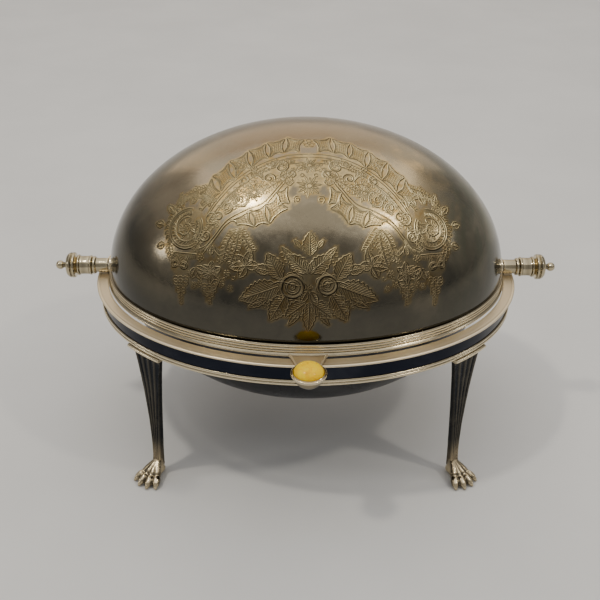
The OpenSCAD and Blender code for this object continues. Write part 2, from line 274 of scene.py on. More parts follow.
MATERIALS = {
    "dome": material("tarnished_dome_silver", dome_skin),
    "cut": material("bright_cut_engraving", cut_lines),
    "bright": material("rubbed_and_sheened_silver_plate", plated(
        (0.90, 0.78, 0.54), (0.52, 0.44, 0.30), (0.044, 0.036, 0.024), (0.15, 0.25), "wear_sheen_and_shade", 34.0, 0.30)),
    "flange": material("worn_and_sheened_flange_plate", plated(
        (0.92, 0.80, 0.58), (0.76, 0.645, 0.460), (0.420, 0.340, 0.230),
        (0.38, 0.46), "wear_sheen_and_shade", 30.0, 0.15, 0.1)),
    "band": material("dark_band_silver", plated(
        (0.110, 0.116, 0.140), (0.030, 0.034, 0.047), (0.008, 0.010, 0.017),
        (0.08, 0.16), "wear_sheen_and_shade", 30.0, 0.6)),
    "leg": material("fluted_leg_silver", leg_skin),
    "paw": material("cast_paw_silver", plated(
        (0.90, 0.76, 0.50), (0.46, 0.37, 0.235), (0.030, 0.024, 0.015), (0.15, 0.26), "wear_sheen_and_shade", 80.0, 0.4)),
    # The handle's palette is darkened overall, a painted dark reflection of its surroundings
    "handle": material("handle_silver", plated(
        (0.80, 0.70, 0.48), (0.46, 0.39, 0.255), (0.070, 0.056, 0.036), (0.12, 0.20), "wear_sheen_and_shade", 40.0, 0.3)),
    "dark": material("dark_pan_silver", plated(
        (0.11, 0.11, 0.11), (0.042, 0.043, 0.047), (0.016, 0.017, 0.021), (0.24, 0.40), None, 42.0)),
    "inside": material("inner_silver_plate", plated(
        (0.72, 0.68, 0.60), (0.56, 0.52, 0.45), (0.34, 0.31, 0.26), (0.22, 0.36), None, 30.0, 0.7)),
    "steel": material("pivot_steel", plated(
        (0.50, 0.49, 0.47), (0.36, 0.35, 0.33), (0.15, 0.14, 0.13), (0.24, 0.40), None, 120.0, 0.7)),
    "amber": material("amber_resin", amber, metallic=0.0, IOR=1.45, Subsurface_Weight=0.10,
                      Subsurface_Scale=0.003, Specular_IOR_Level=0.22),
}


# ---------------------------------------------------------------- mesh building

def grid(rows, columns, close_rows=False, close_columns=False, start=0):
    """Quads over a rows x columns array of points."""
    i, j = np.meshgrid(np.arange(rows - (not close_rows)), np.arange(columns - (not close_columns)),
                       indexing="ij")
    k, m = (i + 1) % rows, (j + 1) % columns
    quads = np.stack([i * columns + j, k * columns + j, k * columns + m, i * columns + m], -1)
    return (quads.reshape(-1, 4) + start).tolist()


def link(name, data):
    """A new object in the scene."""
    made = bpy.data.objects.new(name, data)
    bpy.context.scene.collection.objects.link(made)
    return made


def piece(name, points, faces, look, body, node=None, values=None, crease=40, key="wear_sheen_and_shade", outward=True):
    """A finished mesh object that may replace a node. points are in mm from the axis centre."""
    mesh = bpy.data.meshes.new(name)
    mesh.from_pydata((np.asarray(points, float) * MM + ORIGIN).tolist(), [], faces)
    if values is not None:
        layer = mesh.attributes.new(key, "FLOAT", "POINT")
        layer.data.foreach_set("value", np.asarray(values, np.float32))
    mesh.validate()
    if outward:
        edit = bmesh.new()
        edit.from_mesh(mesh)
        bmesh.ops.recalc_face_normals(edit, faces=edit.faces)
        edit.to_mesh(mesh)
        edit.free()
    mesh.shade_smooth()
    mesh.set_sharp_from_angle(angle=math.radians(crease))
    made = link(name, mesh)
    mesh.materials.append(MATERIALS[look])
    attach(made, body)
    if node:
        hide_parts(node)
    return made


def second_look(made, look, chosen):
    """Gives the chosen faces of a piece another material."""
    made.data.materials.append(MATERIALS[look])
    made.data.polygons.foreach_set("material_index", np.asarray(chosen, np.int32))


def carve(made, cutter, name):
    """Cuts the closed forms of a bmesh out of a piece."""
    mesh = bpy.data.meshes.new(name)
    cutter.to_mesh(mesh)
    cutter.free()
    form = link(name, mesh)
    cut = made.modifiers.new(name, "BOOLEAN")
    cut.operation = "DIFFERENCE"
    cut.object = form
    bpy.context.view_layer.update()
    ready = bpy.data.meshes.new_from_object(made.evaluated_get(bpy.context.evaluated_depsgraph_get()))
    made.modifiers.clear()
    made.data = ready
    bpy.data.objects.remove(form)


def from_axis(x, y, z):
    """The frame's place of a point given in mm from the axis centre."""
    return Matrix.Translation(Vector((x, y, z)) * MM + Vector(ORIGIN))


def arc(centre, radius, start, end, steps=8):
    t = np.radians(np.linspace(start, end, steps))
    return [(centre[0] + radius * math.cos(v), centre[1] + radius * math.sin(v)) for v in t]


def refine(profile, step):
    """Adds points so that no stretch of a profile is longer than step; keeps its corners."""
    out = []
    for (x0, y0), (x1, y1) in zip(profile, profile[1:]):
        n = max(1, int(math.hypot(x1 - x0, y1 - y0) / step))
        out += [(x0 + (x1 - x0) * i / n, y0 + (y1 - y0) * i / n) for i in range(n)]
    return out + [profile[-1]]


def oval_sweep(a, b, profile, start=0.0, end=TAU, steps=OVAL_STEPS):
    """A closed (offset, height) profile carried round an oval. An open stretch is capped."""
    whole = abs(end - start - TAU) < 1e-6
    t = np.linspace(start, end, steps, endpoint=not whole)
    offset, height = np.array(profile, float).T
    x = (a + offset)[None, :] * np.cos(t)[:, None]
    y = (b + offset)[None, :] * np.sin(t)[:, None]
    points = np.stack([x, y, np.broadcast_to(height, x.shape)], -1).reshape(-1, 3)
    faces = grid(len(t), len(profile), whole, True)
    if not whole:
        n = len(profile)
        faces += [list(range(n)), list(range(len(points) - n, len(points)))]
    return points, faces


def oval_piece(name, a, b, profile, wear_sheen_and_shade, look, body, node, crease=50):
    """A piece swept round a whole oval, with its wear and painted sheen and shade given for each point of the
    profile.
    """
    points, faces = oval_sweep(a, b, profile)
    return piece(name, points, faces, look, body, node, np.tile(wear_sheen_and_shade, OVAL_STEPS), crease)


def turned(profile):
    """A lathe shape about Z from (radius, height) points; ends on the axis are closed with a pole."""
    t = np.linspace(0, TAU, TURN_STEPS, endpoint=False)
    rows = []
    for radius, height in profile:
        radius = max(radius, 1e-3)
        rows.append(np.stack([radius * np.cos(t), radius * np.sin(t), np.full(len(t), float(height))], 1))
    return np.concatenate(rows), grid(len(profile), len(t), False, True)


def crest(steps, base=0.0):
    """Wear and painted light across one reed: bright along its crest, partly rubbed wear and partly a painted
    highlight, and dark in the grooves, a painted shade.
    """
    t = np.sin(np.pi * np.linspace(0, 1, steps))
    return list(np.clip(base + 1.15 * t ** 1.6, 0, 1))


def reeds(offset, height, radius, count, reach):
    """The profile of reeds one above another, and their wear with painted sheen and shade."""
    profile, wear_sheen_and_shade = [], []
    for k in range(count):
        profile += arc((offset, height + 2 * radius * k), radius, -reach, reach, 13)
        wear_sheen_and_shade += crest(13)
    return profile, wear_sheen_and_shade


def along_x(points, side):
    """Lays a lathe shape along the rolling axis, on the given side."""
    return np.stack([side * points[:, 2], points[:, 1], points[:, 0]], 1)


# ---------------------------------------------------------------- dome

PIN_R = 3.05
DOME_T = 1.2
# The dome's outline from its middle to an end: place along the axis, radius, and distance along it
OUTLINE_X = np.linspace(0, DOME_A, 6001)
OUTLINE_R = DOME_R * np.sqrt(np.clip(1 - (OUTLINE_X / DOME_A) ** 2, 0, 1))
OUTLINE_S = np.concatenate([[0], np.cumsum(np.hypot(np.diff(OUTLINE_X), np.diff(OUTLINE_R)))])


def dome_point(s, lift, inset=0.0):
    """A point of the dome from its distance s along the dome's length and its lift over the rim."""
    x = np.sign(s) * np.interp(np.abs(s), OUTLINE_S, OUTLINE_X)
    radius = DOME_R * np.sqrt(np.clip(1 - (x / DOME_A) ** 2, 0, 1))
    point = np.stack([x, -radius * np.cos(lift), radius * np.sin(lift)], -1)
    normal = point / np.array([DOME_A ** 2, DOME_R ** 2, DOME_R ** 2])
    normal /= np.linalg.norm(normal, axis=-1, keepdims=True)
    return point - normal * inset, normal


def radius_at(s):
    return DOME_R * math.sqrt(max(1 - (np.interp(abs(s), OUTLINE_S, OUTLINE_X) / DOME_A) ** 2, 1e-4))


def travelled(points):
    """The distance gone at each point of a path."""
    return np.concatenate([[0], np.cumsum(np.linalg.norm(np.diff(points, axis=0), axis=1))])


# ---- The engraving: strokes on the dome, each a list of (distance along, lift) points ----

STROKES = []
FILLS = []
# Cut lines are this much wider than the widths given with the strokes
LINE = 1.3
# The direction of the light: the flank of each cut line that faces it gets the painted highlight
LIT_FLANK_FACING = np.array([-0.50, -0.35, 0.79])


def spot(s, lift, turn=0.0, side=1):
    """Places a motif drawn in millimetres at a point of the dome, mirrored where side is -1."""
    c, n, r = math.cos(math.radians(turn)), math.sin(math.radians(turn)), radius_at(s)

    def put(points):
        p = np.atleast_2d(np.asarray(points, float))
        x, y = c * p[:, 0] - n * p[:, 1], n * p[:, 0] + c * p[:, 1]
        return np.stack([side * (s + x), math.radians(lift) + y / r], 1)
    return put


def chart(side=1):
    """Places points given as (distance along in mm, lift in degrees)."""
    def put(points):
        p = np.atleast_2d(np.asarray(points, float))
        return np.stack([side * p[:, 0], np.radians(p[:, 1])], 1)
    return put


def stroke(put, points, width):
    STROKES.append((put(points), width))


def fill(s, lift, across, high, side=1):
    """An oval of matted ground behind the strokes, in millimetres."""
    FILLS.append((side * s, math.radians(lift), across, high))


def smooth(points, steps):
    """A curve through the points."""
    p = np.asarray(points, float)
    p = np.concatenate([[2 * p[0] - p[1]], p, [2 * p[-1] - p[-2]]])
    t = np.linspace(0, 1, steps, endpoint=False)[:, None]
    out = []
    for a, b, c, d in zip(p, p[1:], p[2:], p[3:]):
        out.append(0.5 * (2 * b + (c - a) * t + (2 * a - 5 * b + 4 * c - d) * t ** 2
                          + (3 * b - a - 3 * c + d) * t ** 3))
    return np.concatenate(out + [p[-2:-1]])


def curve(put, points, steps, width):
    stroke(put, smooth(points, steps), width)


def polar(radius, t, centre=(0, 0), squash=1.0):
    return np.stack([centre[0] + radius * np.cos(t), centre[1] + squash * radius * np.sin(t)], 1)


def axes(angle):
    """Unit directions outwards at an angle and across it."""
    out = np.array([math.cos(angle), math.sin(angle)])
    return out, np.array([-out[1], out[0]])


def heading(path, k):
    """Unit directions along a path and to its left, at its point k."""
    along = path[k + 1] - path[k - 1]
    along = along / max(np.linalg.norm(along), 1e-6)
    return along, np.array([-along[1], along[0]])


def ring(put, radius, width=0.3, start=0, end=360, centre=(0, 0), squash=1.0):
    t = np.radians(np.linspace(start, end, max(8, int(abs(end - start) / 18))))
    stroke(put, polar(radius, t, centre, squash), width)


def leaf(put, length, half, teeth, veins):
    """A leaf along +Y with a toothed edge, a midrib and slanting veins."""
    t = np.linspace(0, 1, 2 * teeth + 1)
    wide = half * np.sin(np.pi * t ** 0.82) ** 0.9
    wide = wide * np.where(np.arange(len(t)) % 2 == 1, 1.12, 0.86)
    for way in (-1, 1):
        stroke(put, np.stack([way * wide, t * length], 1), 0.40)
        for k in range(1, veins):
            u = k / veins * 0.9
            reach = half * math.sin(math.pi * min(u + 0.1, 1) ** 0.82) ** 0.9 * 0.82
            curve(put, [(0, (u - 0.06) * length), (way * reach * 0.42, (u + 0.02) * length),
                        (way * reach, (u + 0.12) * length)], 3, 0.25)
    stroke(put, [(0, 0.0), (0, 0.5 * length), (0, 0.97 * length)], 0.38)


def leaves(side, *rows):
    """Leaves as rows of distance along, lift, turn, length, half width, teeth and veins."""
    for s, lift, turn, *form in rows:
        leaf(spot(s, lift, turn, side), *form)


def scroll(put, radius, start, turns, width=0.5, way=1, close=0.16, centre=(0, 0)):
    """A volute that winds in from radius."""
    t = np.linspace(0, 1, max(10, int(18 * turns)))
    r = radius * (1 - (1 - close) * t ** 0.85)
    stroke(put, polar(r, math.radians(start) + way * TAU * turns * t, centre), width)


def acanthus(put, path, length, count, lean=0.5, width=0.34, way=1):
    """Curved lobes along a path, leaning forward on one side of it."""
    p = smooth(path, 10)
    for k in np.linspace(2, len(p) - 3, count).astype(int):
        along, left = heading(p, k)
        out = way * left
        size = length * (0.7 + 0.3 * math.sin(math.pi * k / len(p)))
        tip = p[k] + out * size + along * size * lean
        bend = p[k] + out * size * 0.62 - along * size * 0.1
        back = p[k] + out * size * 0.5 + along * size * 0.42
        curve(put, [p[k], bend, tip], 4, width)
        curve(put, [tip, back, p[k] + along * size * 0.34], 4, width * 0.8)
        curve(put, [p[k] + along * size * 0.12, (bend + back) / 2, tip * 0.8 + bend * 0.2], 3, 0.2)
    stroke(put, p, width * 1.2)


def star(put, petals, radius, inner=0.2):
    half = 0.55 * math.pi * radius / petals
    for k in range(petals):
        d, n = axes(TAU * k / petals)
        long = radius * (1.0 if k % 2 == 0 else 0.8)
        for way in (1, -1):
            curve(put, [d * radius * inner, d * long * 0.6 + way * n * half * 0.62, d * long], 3, 0.3)
    ring(put, radius * inner, 0.4)


def blossom(put, radius):
    for k in range(5):
        d, _ = axes(TAU * (k + 0.25) / 5)
        ring(put, 0.36 * radius, centre=0.62 * radius * d)
    ring(put, 0.24 * radius, 0.4)


def rose(put, radius):
    for share, gap, turn in ((1.0, 30, 20), (0.90, 30, 200), (0.64, 80, 90), (0.46, 90, 300),
                             (0.26, 60, 150)):
        ring(put, radius * share, 0.62 if share > 0.8 else 0.40, turn + gap, turn + 360)
    for k in range(7):
        d, n = axes(TAU * k / 7)
        edge = d * radius * 1.02
        curve(put, [edge - n * radius * 0.36, d * radius * 1.22, edge + n * radius * 0.36], 4, 0.36)
        curve(put, [d * radius * 0.5, d * radius * 0.64 + n * radius * 0.14, d * radius * 0.82], 3, 0.24)
    scroll(put, radius * 0.24, 40, 1.4, 0.34)


def bowed(corners, steps):
    """The sides of a four-cornered cell, each curving inwards."""
    middle = corners.mean(0)
    ends = zip(corners, np.roll(corners, -1, 0))
    return [smooth([a, (a + b) / 2 + (middle - (a + b) / 2) * 0.28, b], steps) for a, b in ends]


def panel(put, corners, lines):
    """A bat-wing cell with a double border, ruled across both ways."""
    c = np.asarray(corners, float)
    sides = bowed(c, 6)
    for side in sides:
        stroke(put, side, 0.52)
    for side in bowed((c - c.mean(0)) * 0.80 + c.mean(0), 5):
        stroke(put, side, 0.24)
    for a, b, count in ((sides[0], sides[2][::-1], lines + 2), (sides[1], sides[3][::-1], lines)):
        for k in range(1, count):
            u = k / count * (len(a) - 1)
            i, part = int(u), u - int(u)
            start = a[i] * (1 - part) + a[i + 1] * part
            end = b[i] * (1 - part) + b[i + 1] * part
            stroke(put, [start * 0.9 + end * 0.1, (start + end) / 2, start * 0.1 + end * 0.9], 0.20)


def fern(put, path, leaflets, length):
    """A stem with a pair of looped leaflets at each step."""
    p = smooth(path, 10)
    stroke(put, p, 0.3)
    for k in np.linspace(1, len(p) - 2, leaflets).astype(int):
        along, left = heading(p, k)
        size = length * (0.55 + 0.45 * math.sin(math.pi * (0.15 + 0.8 * k / len(p))))
        for way in (-1, 1):
            out = way * left
            curve(put, [p[k], p[k] + out * size * 0.45 + along * size * 0.62,
                        p[k] + out * size + along * size * 0.45,
                        p[k] + out * size * 0.75 - along * size * 0.05, p[k]], 4, 0.28)


def pendant(put, rows, spacing, width):
    """Berries that hang in a tapering bunch."""
    for k in range(rows):
        share = 1 - k / rows
        count = max(1, round(3 * share))
        for j in range(count):
            x = (j - (count - 1) / 2) * width * 0.62
            ring(put, width * (0.22 + 0.12 * share), 0.28, centre=(x, -k * spacing))
    curve(put, [(0, spacing * 0.8), (0.3, -rows * spacing * 0.4), (0, -rows * spacing)], 5, 0.26)


def bell(put, length, half):
    """A bellflower with flared petals, hanging down."""
    for way in (-1, 1):
        curve(put, [(0, 0), (way * half * 0.8, -length * 0.3), (way * half * 0.5, -length * 0.7),
                    (way * half, -length)], 5, 0.36)
        curve(put, [(0, -0.1 * length), (way * half * 0.4, -length * 0.4),
                    (way * half * 0.3, -length * 0.9)], 4, 0.24)
    curve(put, [(-half, -length), (0, -length * 0.84), (half, -length)], 4, 0.3)
    stroke(put, [(0, -0.2 * length), (0, -0.8 * length)], 0.24)


def foliage(side, path, count, length):
    """A running stem of leaflets with a small scroll at every other joint, given as in chart()."""
    p = np.asarray(path, float)
    put = spot(p[0, 0], p[0, 1], 0, side)
    local = (p - p[0]) * [1, math.radians(1) * radius_at(p[:, 0].mean())]
    fern(put, local, count, length)
    line = smooth(local, 10)
    for j, k in enumerate(np.linspace(3, len(line) - 4, count // 2).astype(int)):
        way = 1 if j % 2 else -1
        centre = line[k] + way * heading(line, k)[1] * length * 0.95
        scroll(put, length * 0.5, 50 * j, 1.2, 0.3, way, centre=centre)


def half_arch(side):
    """One half of the strapwork arch over the plain cartouche."""
    on = chart(side)
    star(spot(35, 54.9, 12, side), 12, 7.4)
    blossom(spot(45.6, 67.9, 0, side), 4.4)
    outer = np.array([(0, 70.6), (16, 69.8), (32, 66.6), (48, 60.8), (60, 53.6), (66, 48.5)])
    for shift in (0.0, 1.5, 4.2):
        curve(on, outer - (0, shift), 10, 0.46)
    inner = np.array([(14, 60.4), (20, 56.2), (29, 50.6), (40, 48.4), (52, 45.2), (60, 40.0), (69, 34.0)])
    for shift in (0.0, 1.4):
        curve(on, inner - (0, shift), 9, 0.48)
    for lines, *corners in (
        # Outer bat wings
        (8, (6.4, 71.8), (2.8, 78.8), (14.4, 80.6), (15.8, 71.8)),
        (8, (16.2, 71.6), (15.4, 80.0), (27.4, 78.2), (25.4, 69.8)),
        (8, (25.8, 69.6), (28.0, 77.8), (39.4, 75.2), (36.4, 66.2)),
        (8, (36.8, 65.8), (40.0, 74.6), (52.0, 71.0), (47.0, 62.0)),
        (8, (47.4, 61.6), (52.6, 70.2), (63.4, 65.2), (56.6, 57.2)),
        (7, (57.0, 56.8), (63.8, 64.2), (71.6, 58.2), (64.4, 51.2)),
        # Inner bat wings, which frame the cartouche
        (5, (13.4, 56.6), (12.0, 49.8), (19.4, 49.0), (21.0, 54.6)),
        (6, (19.4, 53.4), (12.9, 48.2), (24.8, 42.8), (27.6, 49.8)),
        (6, (27.6, 49.8), (24.8, 42.8), (34.0, 42.0), (37.6, 48.2)),
        (6, (37.6, 48.2), (34.0, 42.0), (46.0, 43.2), (50.5, 45.2)),
    ):
        panel(on, corners, lines)
    for ground in ((20, 65.5, 15, 7.5), (36, 59.0, 14, 8.0), (52, 52.0, 13, 7.0), (6, 61.5, 10, 11.0)):
        fill(*ground, side)
    # C-scrolls and leafy fill between the two bands
    for s, lift, r, start, way in (
        (17.5, 64.8, 6.0, 60, 1), (25.5, 60.2, 4.4, 200, -1), (43.6, 52.4, 6.6, 120, 1),
        (52.0, 50.2, 4.6, 300, -1), (24.0, 66.6, 3.4, 20, -1), (41.6, 60.4, 4.0, 80, 1),
        (11.5, 61.6, 3.4, 250, -1), (58.0, 47.0, 3.6, 30, 1),
    ):
        scroll(spot(s, lift, 0, side), r, start, 1.35, 0.55, way)
        scroll(spot(s, lift, 0, side), r * 0.8, start + 20, 1.0, 0.3, way)
    acanthus(on, [(8, 67.4), (16, 68.2), (26, 66.4)], 2.2, 7, way=-1)
    leaves(side, (18.5, 60.6, 60, 8.0, 2.4, 4, 6), (33.5, 63.8, -40, 6.5, 2.0, 3, 5),
           (48.6, 55.6, 150, 8.0, 2.4, 4, 6))
    for k in range(5):
        ring(spot(10.5 + 9.6 * k, 63.6 - 3.1 * k, 0, side), 0.9 + 0.2 * (k % 2))
    foliage(side, [(12.5, 66.4), (22, 66.6), (32, 63.0), (44, 57.4), (56, 50.4), (63, 44.0)], 17, 3.0)
    foliage(side, [(5.5, 66.0), (12, 60.4), (20, 58.2), (30, 54.6), (42, 51.4), (54, 47.8)], 17, 3.0)
    foliage(side, [(26, 56.6), (34, 58.4), (44, 54.6), (52, 51.2)], 8, 2.6)
    acanthus(on, [(28, 58.8), (33, 61.6), (40, 60.0)], 2.4, 6)
    acanthus(on, [(46, 57.6), (52, 55.0), (57, 51.8)], 2.6, 7, way=-1)
    acanthus(on, [(9, 58.4), (12.5, 56.8), (17, 58.8)], 2.2, 4)
    for s, lift in ((7.4, 51.3), (4.4, 60.9), (9.6, 73.9), (30.6, 63.6), (47.4, 49.6)):
        ring(spot(s, lift, 0, side), 1.2, 0.42)
    curve(spot(7.4, 51.3, 0, side), [(-1.4, 2.6), (1.2, 2.2), (2.4, -0.2), (1.0, -2.6)], 5, 0.4)


def roundel(side):
    """The acanthus roundel at one end of the arch."""
    put = spot(80.5, 44.0, 0, side)
    fill(79.5, 44.6, 14.5, 14.5, side)
    scroll(put, 7.6, 118, 1.15, 0.50, -1, 0.30, (0.6, 0.4))
    blossom(spot(80.9, 44.2, 20, side), 2.5)
    for turn in range(0, 360, 45):
        d, n = axes(math.radians(turn + 14))
        curve(put, [d * 2.8, d * 4.6 + n * 1.5, d * 7.4 + n * 2.0], 4, 0.36)
        curve(put, [d * 2.8, d * 5.0 - n * 0.2, d * 7.4 + n * 2.0], 4, 0.26)
        curve(put, [d * 8.2, d * 8.8 + n * 1.3, d * 10.4 + n * 1.8], 3, 0.26)
    for first, last, count, lines, radius, lobes in (
        (112, -128, 14, ((13.4, 0.62), (12.4, 0.34)), 11.8, (4.4, 17, 0.7, 0.36, -1)),
        (150, 226, 8, ((11.6, 0.5), (10.4, 0.3)), 9.8, (3.4, 6, 0.6, 0.34, 1)),
        (84, -28, 9, (), 13.6, (4.0, 9, 0.75, 0.38, 1)),
    ):
        t = np.radians(np.linspace(first, last, count))
        for reach, width in lines:
            curve(put, polar(reach, t), 5, width)
        acanthus(put, polar(radius, t), *lobes)
    leaves(side, (90.5, 52.1, -36, 9.0, 2.3, 4, 6), (84.5, 54.6, -8, 10.0, 2.3, 4, 6),
           (77.0, 54.2, 24, 10.5, 2.3, 4, 6), (70.5, 53.0, 50, 9.5, 2.3, 4, 6))
    acanthus(spot(72, 55.4, 12, side), [(-8, -3), (-2, 1.0), (6, 1.6), (11, 0)], 3.8, 9, 0.7)
    acanthus(spot(63.5, 51.6, -28, side), [(-6, 0), (0, 2.6), (7, 1)], 3.4, 6)
    scroll(spot(62.4, 47.0, 0, side), 5.4, 220, 1.4)
    scroll(spot(66.6, 40.2, 0, side), 4.8, 30, 1.4, way=-1)
    acanthus(spot(66.6, 36.8, -20, side), [(-6, 2), (0, -1), (7, -1)], 3.2, 6, 0.5, 0.32, -1)
    foliage(side, [(58, 45.6), (64, 43.2), (70, 38.6), (75, 34.6)], 11, 3.0)
    foliage(side, [(66, 60.5), (75, 59.6), (84, 56.8), (92, 52.0)], 11, 3.2)
    foliage(side, [(92, 41.0), (93.5, 35.6), (90, 30.8)], 7, 3.0)
    leaves(side, (98.5, 47.5, -68, 8, 2.6, 4, 5), (97.5, 38.5, -100, 7, 2.4, 4, 5))


def half_bouquet(side):
    """Leaves, berries and small scrolls on one side of the roses."""
    leaves(side, (1.2, 26.6, -50, 17.0, 5.2, 6, 10), (0.6, 26.0, -16, 9.0, 2.4, 4, 6),
           (1.0, 20.2, -150, 9.0, 2.4, 4, 6), (2.0, 16.4, -128, 16.5, 5.2, 6, 9),
           (17.4, 24.2, -28, 18.5, 5.4, 7, 10), (18.0, 22.0, -111, 28.0, 7.2, 9, 13),
           (14.4, 19.0, -150, 20.0, 6.0, 8, 10), (26.0, 17.6, -118, 14.0, 2.4, 5, 7),
           (9.0, 30.4, -44, 12.0, 1.8, 4, 6), (5.6, 13.4, -142, 12.5, 1.9, 4, 6),
           (23.6, 26.8, -78, 12.0, 3.2, 5, 7), (5.2, 34.6, -38, 6.8, 1.3, 3, 4))
    curve(chart(side), [(6, 21.8), (17.4, 23.4), (24, 22.4)], 5, 0.46)
    for k, (s, lift) in enumerate(((19.5, 30.6), (14.2, 30.2), (16.6, 32.4), (21.6, 15.8),
                                   (18.8, 13.2), (24.0, 12.8), (27.6, 14.8), (20.8, 18.2))):
        ring(spot(s, lift, 0, side), 1.0 + 0.25 * (k % 3))
    for k in range(5):
        scroll(spot(12.5 + 2.6 * k, 13.8 - 0.5 * k, 0, side), 1.5, 40 * k, 1.2, 0.28)


def swag(side):
    """Ferns, leaves, flowers and pendants between the bouquet and a roundel."""
    on = chart(side)
    for path in ([(44, 42.0), (45.5, 36), (49.5, 29.0)], [(44, 42.0), (39.5, 37.5), (35.0, 33.6)],
                 [(46.5, 41.2), (51.5, 37.0), (54.5, 30.5)]):
        local = (np.array(path) - (44, 42.0)) * (1, math.radians(1) * radius_at(45))
        fern(spot(44, 42.0, 0, side), local, 11, 3.4)
    leaves(side, *((39.6, 28.6, turn, length, 2.9, 5, 7)
                   for turn, length in ((20, 11), (-42, 9.5), (-96, 11), (-150, 9), (88, 8.5))))
    leaves(side, *((62.6, 26.0, turn, 7.6, 2.5, 3, 5) for turn in range(6, 366, 60)))
    leaves(side, (62.8, 32.6, 4, 6.4, 2.0, 3, 5))
    ring(spot(62.6, 26.0, 0, side), 1.6, 0.42)
    pendant(spot(63.8, 20.8, 0, side), 7, 1.7, 5.4)
    pendant(spot(84.6, 23.0, 0, side), 9, 1.9, 6.2)
    for s, lift, turn in ((81.4, 32.8, 18), (89.6, 33.6, -12)):
        bell(spot(s, lift, turn, side), 8.4, 3.8)
        for radius, width in ((2.9, 0.55), (1.7, 0.8)):
            ring(spot(s + 0.045 * turn, lift - 4.0, turn, side), radius, width, squash=0.8)
    for ground in ((64, 27.0, 12, 9), (47, 33.0, 9, 13), (85, 29.0, 8, 8)):
        fill(*ground, side)
    leaves(side, (73.4, 27.8, 150, 9, 2.5, 4, 5), (73.4, 27.8, 205, 8, 2.5, 4, 5),
           (73.4, 27.8, 110, 8, 2.5, 4, 5))
    for s, lift, r in ((56.4, 30.8, 2.2), (52.2, 25.8, 2.0), (55.6, 21.8, 1.8), (70.6, 21.6, 1.8),
                       (74.8, 21.0, 1.7), (70.0, 31.6, 2.2), (50.0, 20.6, 1.6), (78.0, 25.4, 1.8)):
        blossom(spot(s, lift, 17 * r, side), r * 1.2)
    acanthus(on, [(56, 24.0), (60, 19.8), (66, 18.6)], 1.9, 6)
    acanthus(on, [(72, 33.0), (80, 33.6), (90, 34.4)], 2.6, 9, way=-1)
    acanthus(on, [(52, 33.6), (57, 32.4), (61, 34.6)], 2.2, 5)
    for k in range(6):
        scroll(spot(47.5 + 3.1 * k, 24.4 + 1.1 * math.sin(2.1 * k), 0, side), 1.7, 60 * k, 1.2, 0.28,
               1 if k % 2 else -1)


def engrave():
    """Draws the middle motifs once and the others on both halves of the dome."""
    star(spot(0, 65.2), 14, 7.0)
    star(spot(0, 56.6, 8), 14, 8.6)
    blossom(spot(0, 76.6), 4.4)
    for draw in (half_arch, roundel):
        draw(-1)
        draw(1)
    # Two roses and the leaves between them, over the middle of the rim
    leaves(1, (0.6, 32.0, 0, 15.2, 4.6, 6, 10), (0.4, 16.6, 178, 19.5, 4.2, 6, 10))
    fill(0.5, 22.5, 19, 12)
    fill(0.5, 15.0, 13, 10)
    star(spot(0.4, 21.4, 10), 8, 2.6, 0.3)
    rose(spot(-10.2, 21.8), 7.2)
    rose(spot(11.4, 22.4), 6.2)
    for draw in (half_bouquet, swag):
        draw(-1)
        draw(1)



def ribbons(strokes):
    """A mesh of cut lines: a groove with its burrs. The burr that faces up and left, towards the light, gets
    a painted highlight, and the other one and the groove floor get painted shadow; every line tapers to
    nothing at its ends."""
    points, faces, edge, start = [], [], [], 0
    for chart_points, width in strokes:
        place, _ = dome_point(chart_points[:, 0], chart_points[:, 1])
        gone = travelled(place)
        if gone[-1] < 0.5:
            continue
        n = max(4, int(gone[-1] / 0.9) + 1)
        at = np.linspace(0, gone[-1], n)
        s, lift = np.interp(at, gone, chart_points[:, 0]), np.interp(at, gone, chart_points[:, 1])
        place, normal = dome_point(s, lift)
        along = np.gradient(place, axis=0)
        side = np.cross(normal, along)
        side /= np.maximum(np.linalg.norm(side, axis=1, keepdims=True), 1e-9)
        u = at / gone[-1]
        half = LINE * width * np.clip(3.2 * np.sqrt(u * (1 - u)) + 0.12, 0.12, 1.0)
        # How far each flank faces the light; this sets its painted highlight or painted shadow
        facing = side @ LIT_FLANK_FACING
        for across, rise, share in ((-1.0, -0.03, 0.55), (-0.55, 0.13, 1.0), (0.0, 0.01, 0.0),
                                    (0.55, 0.13, 1.0), (1.0, -0.03, 0.55)):
            lifted = rise * (np.minimum(1.0, half / 0.3) if rise > 0 else 1.0)
            points.append(place + side * (half * across)[:, None] + normal * np.reshape(lifted, (-1, 1)))
            edge.append(share * np.clip(0.42 + 0.85 * np.sign(across) * facing, 0, 1))
        faces += grid(5, n, start=start)
        start += 5 * n
    return np.concatenate(points), faces, np.concatenate(edge)


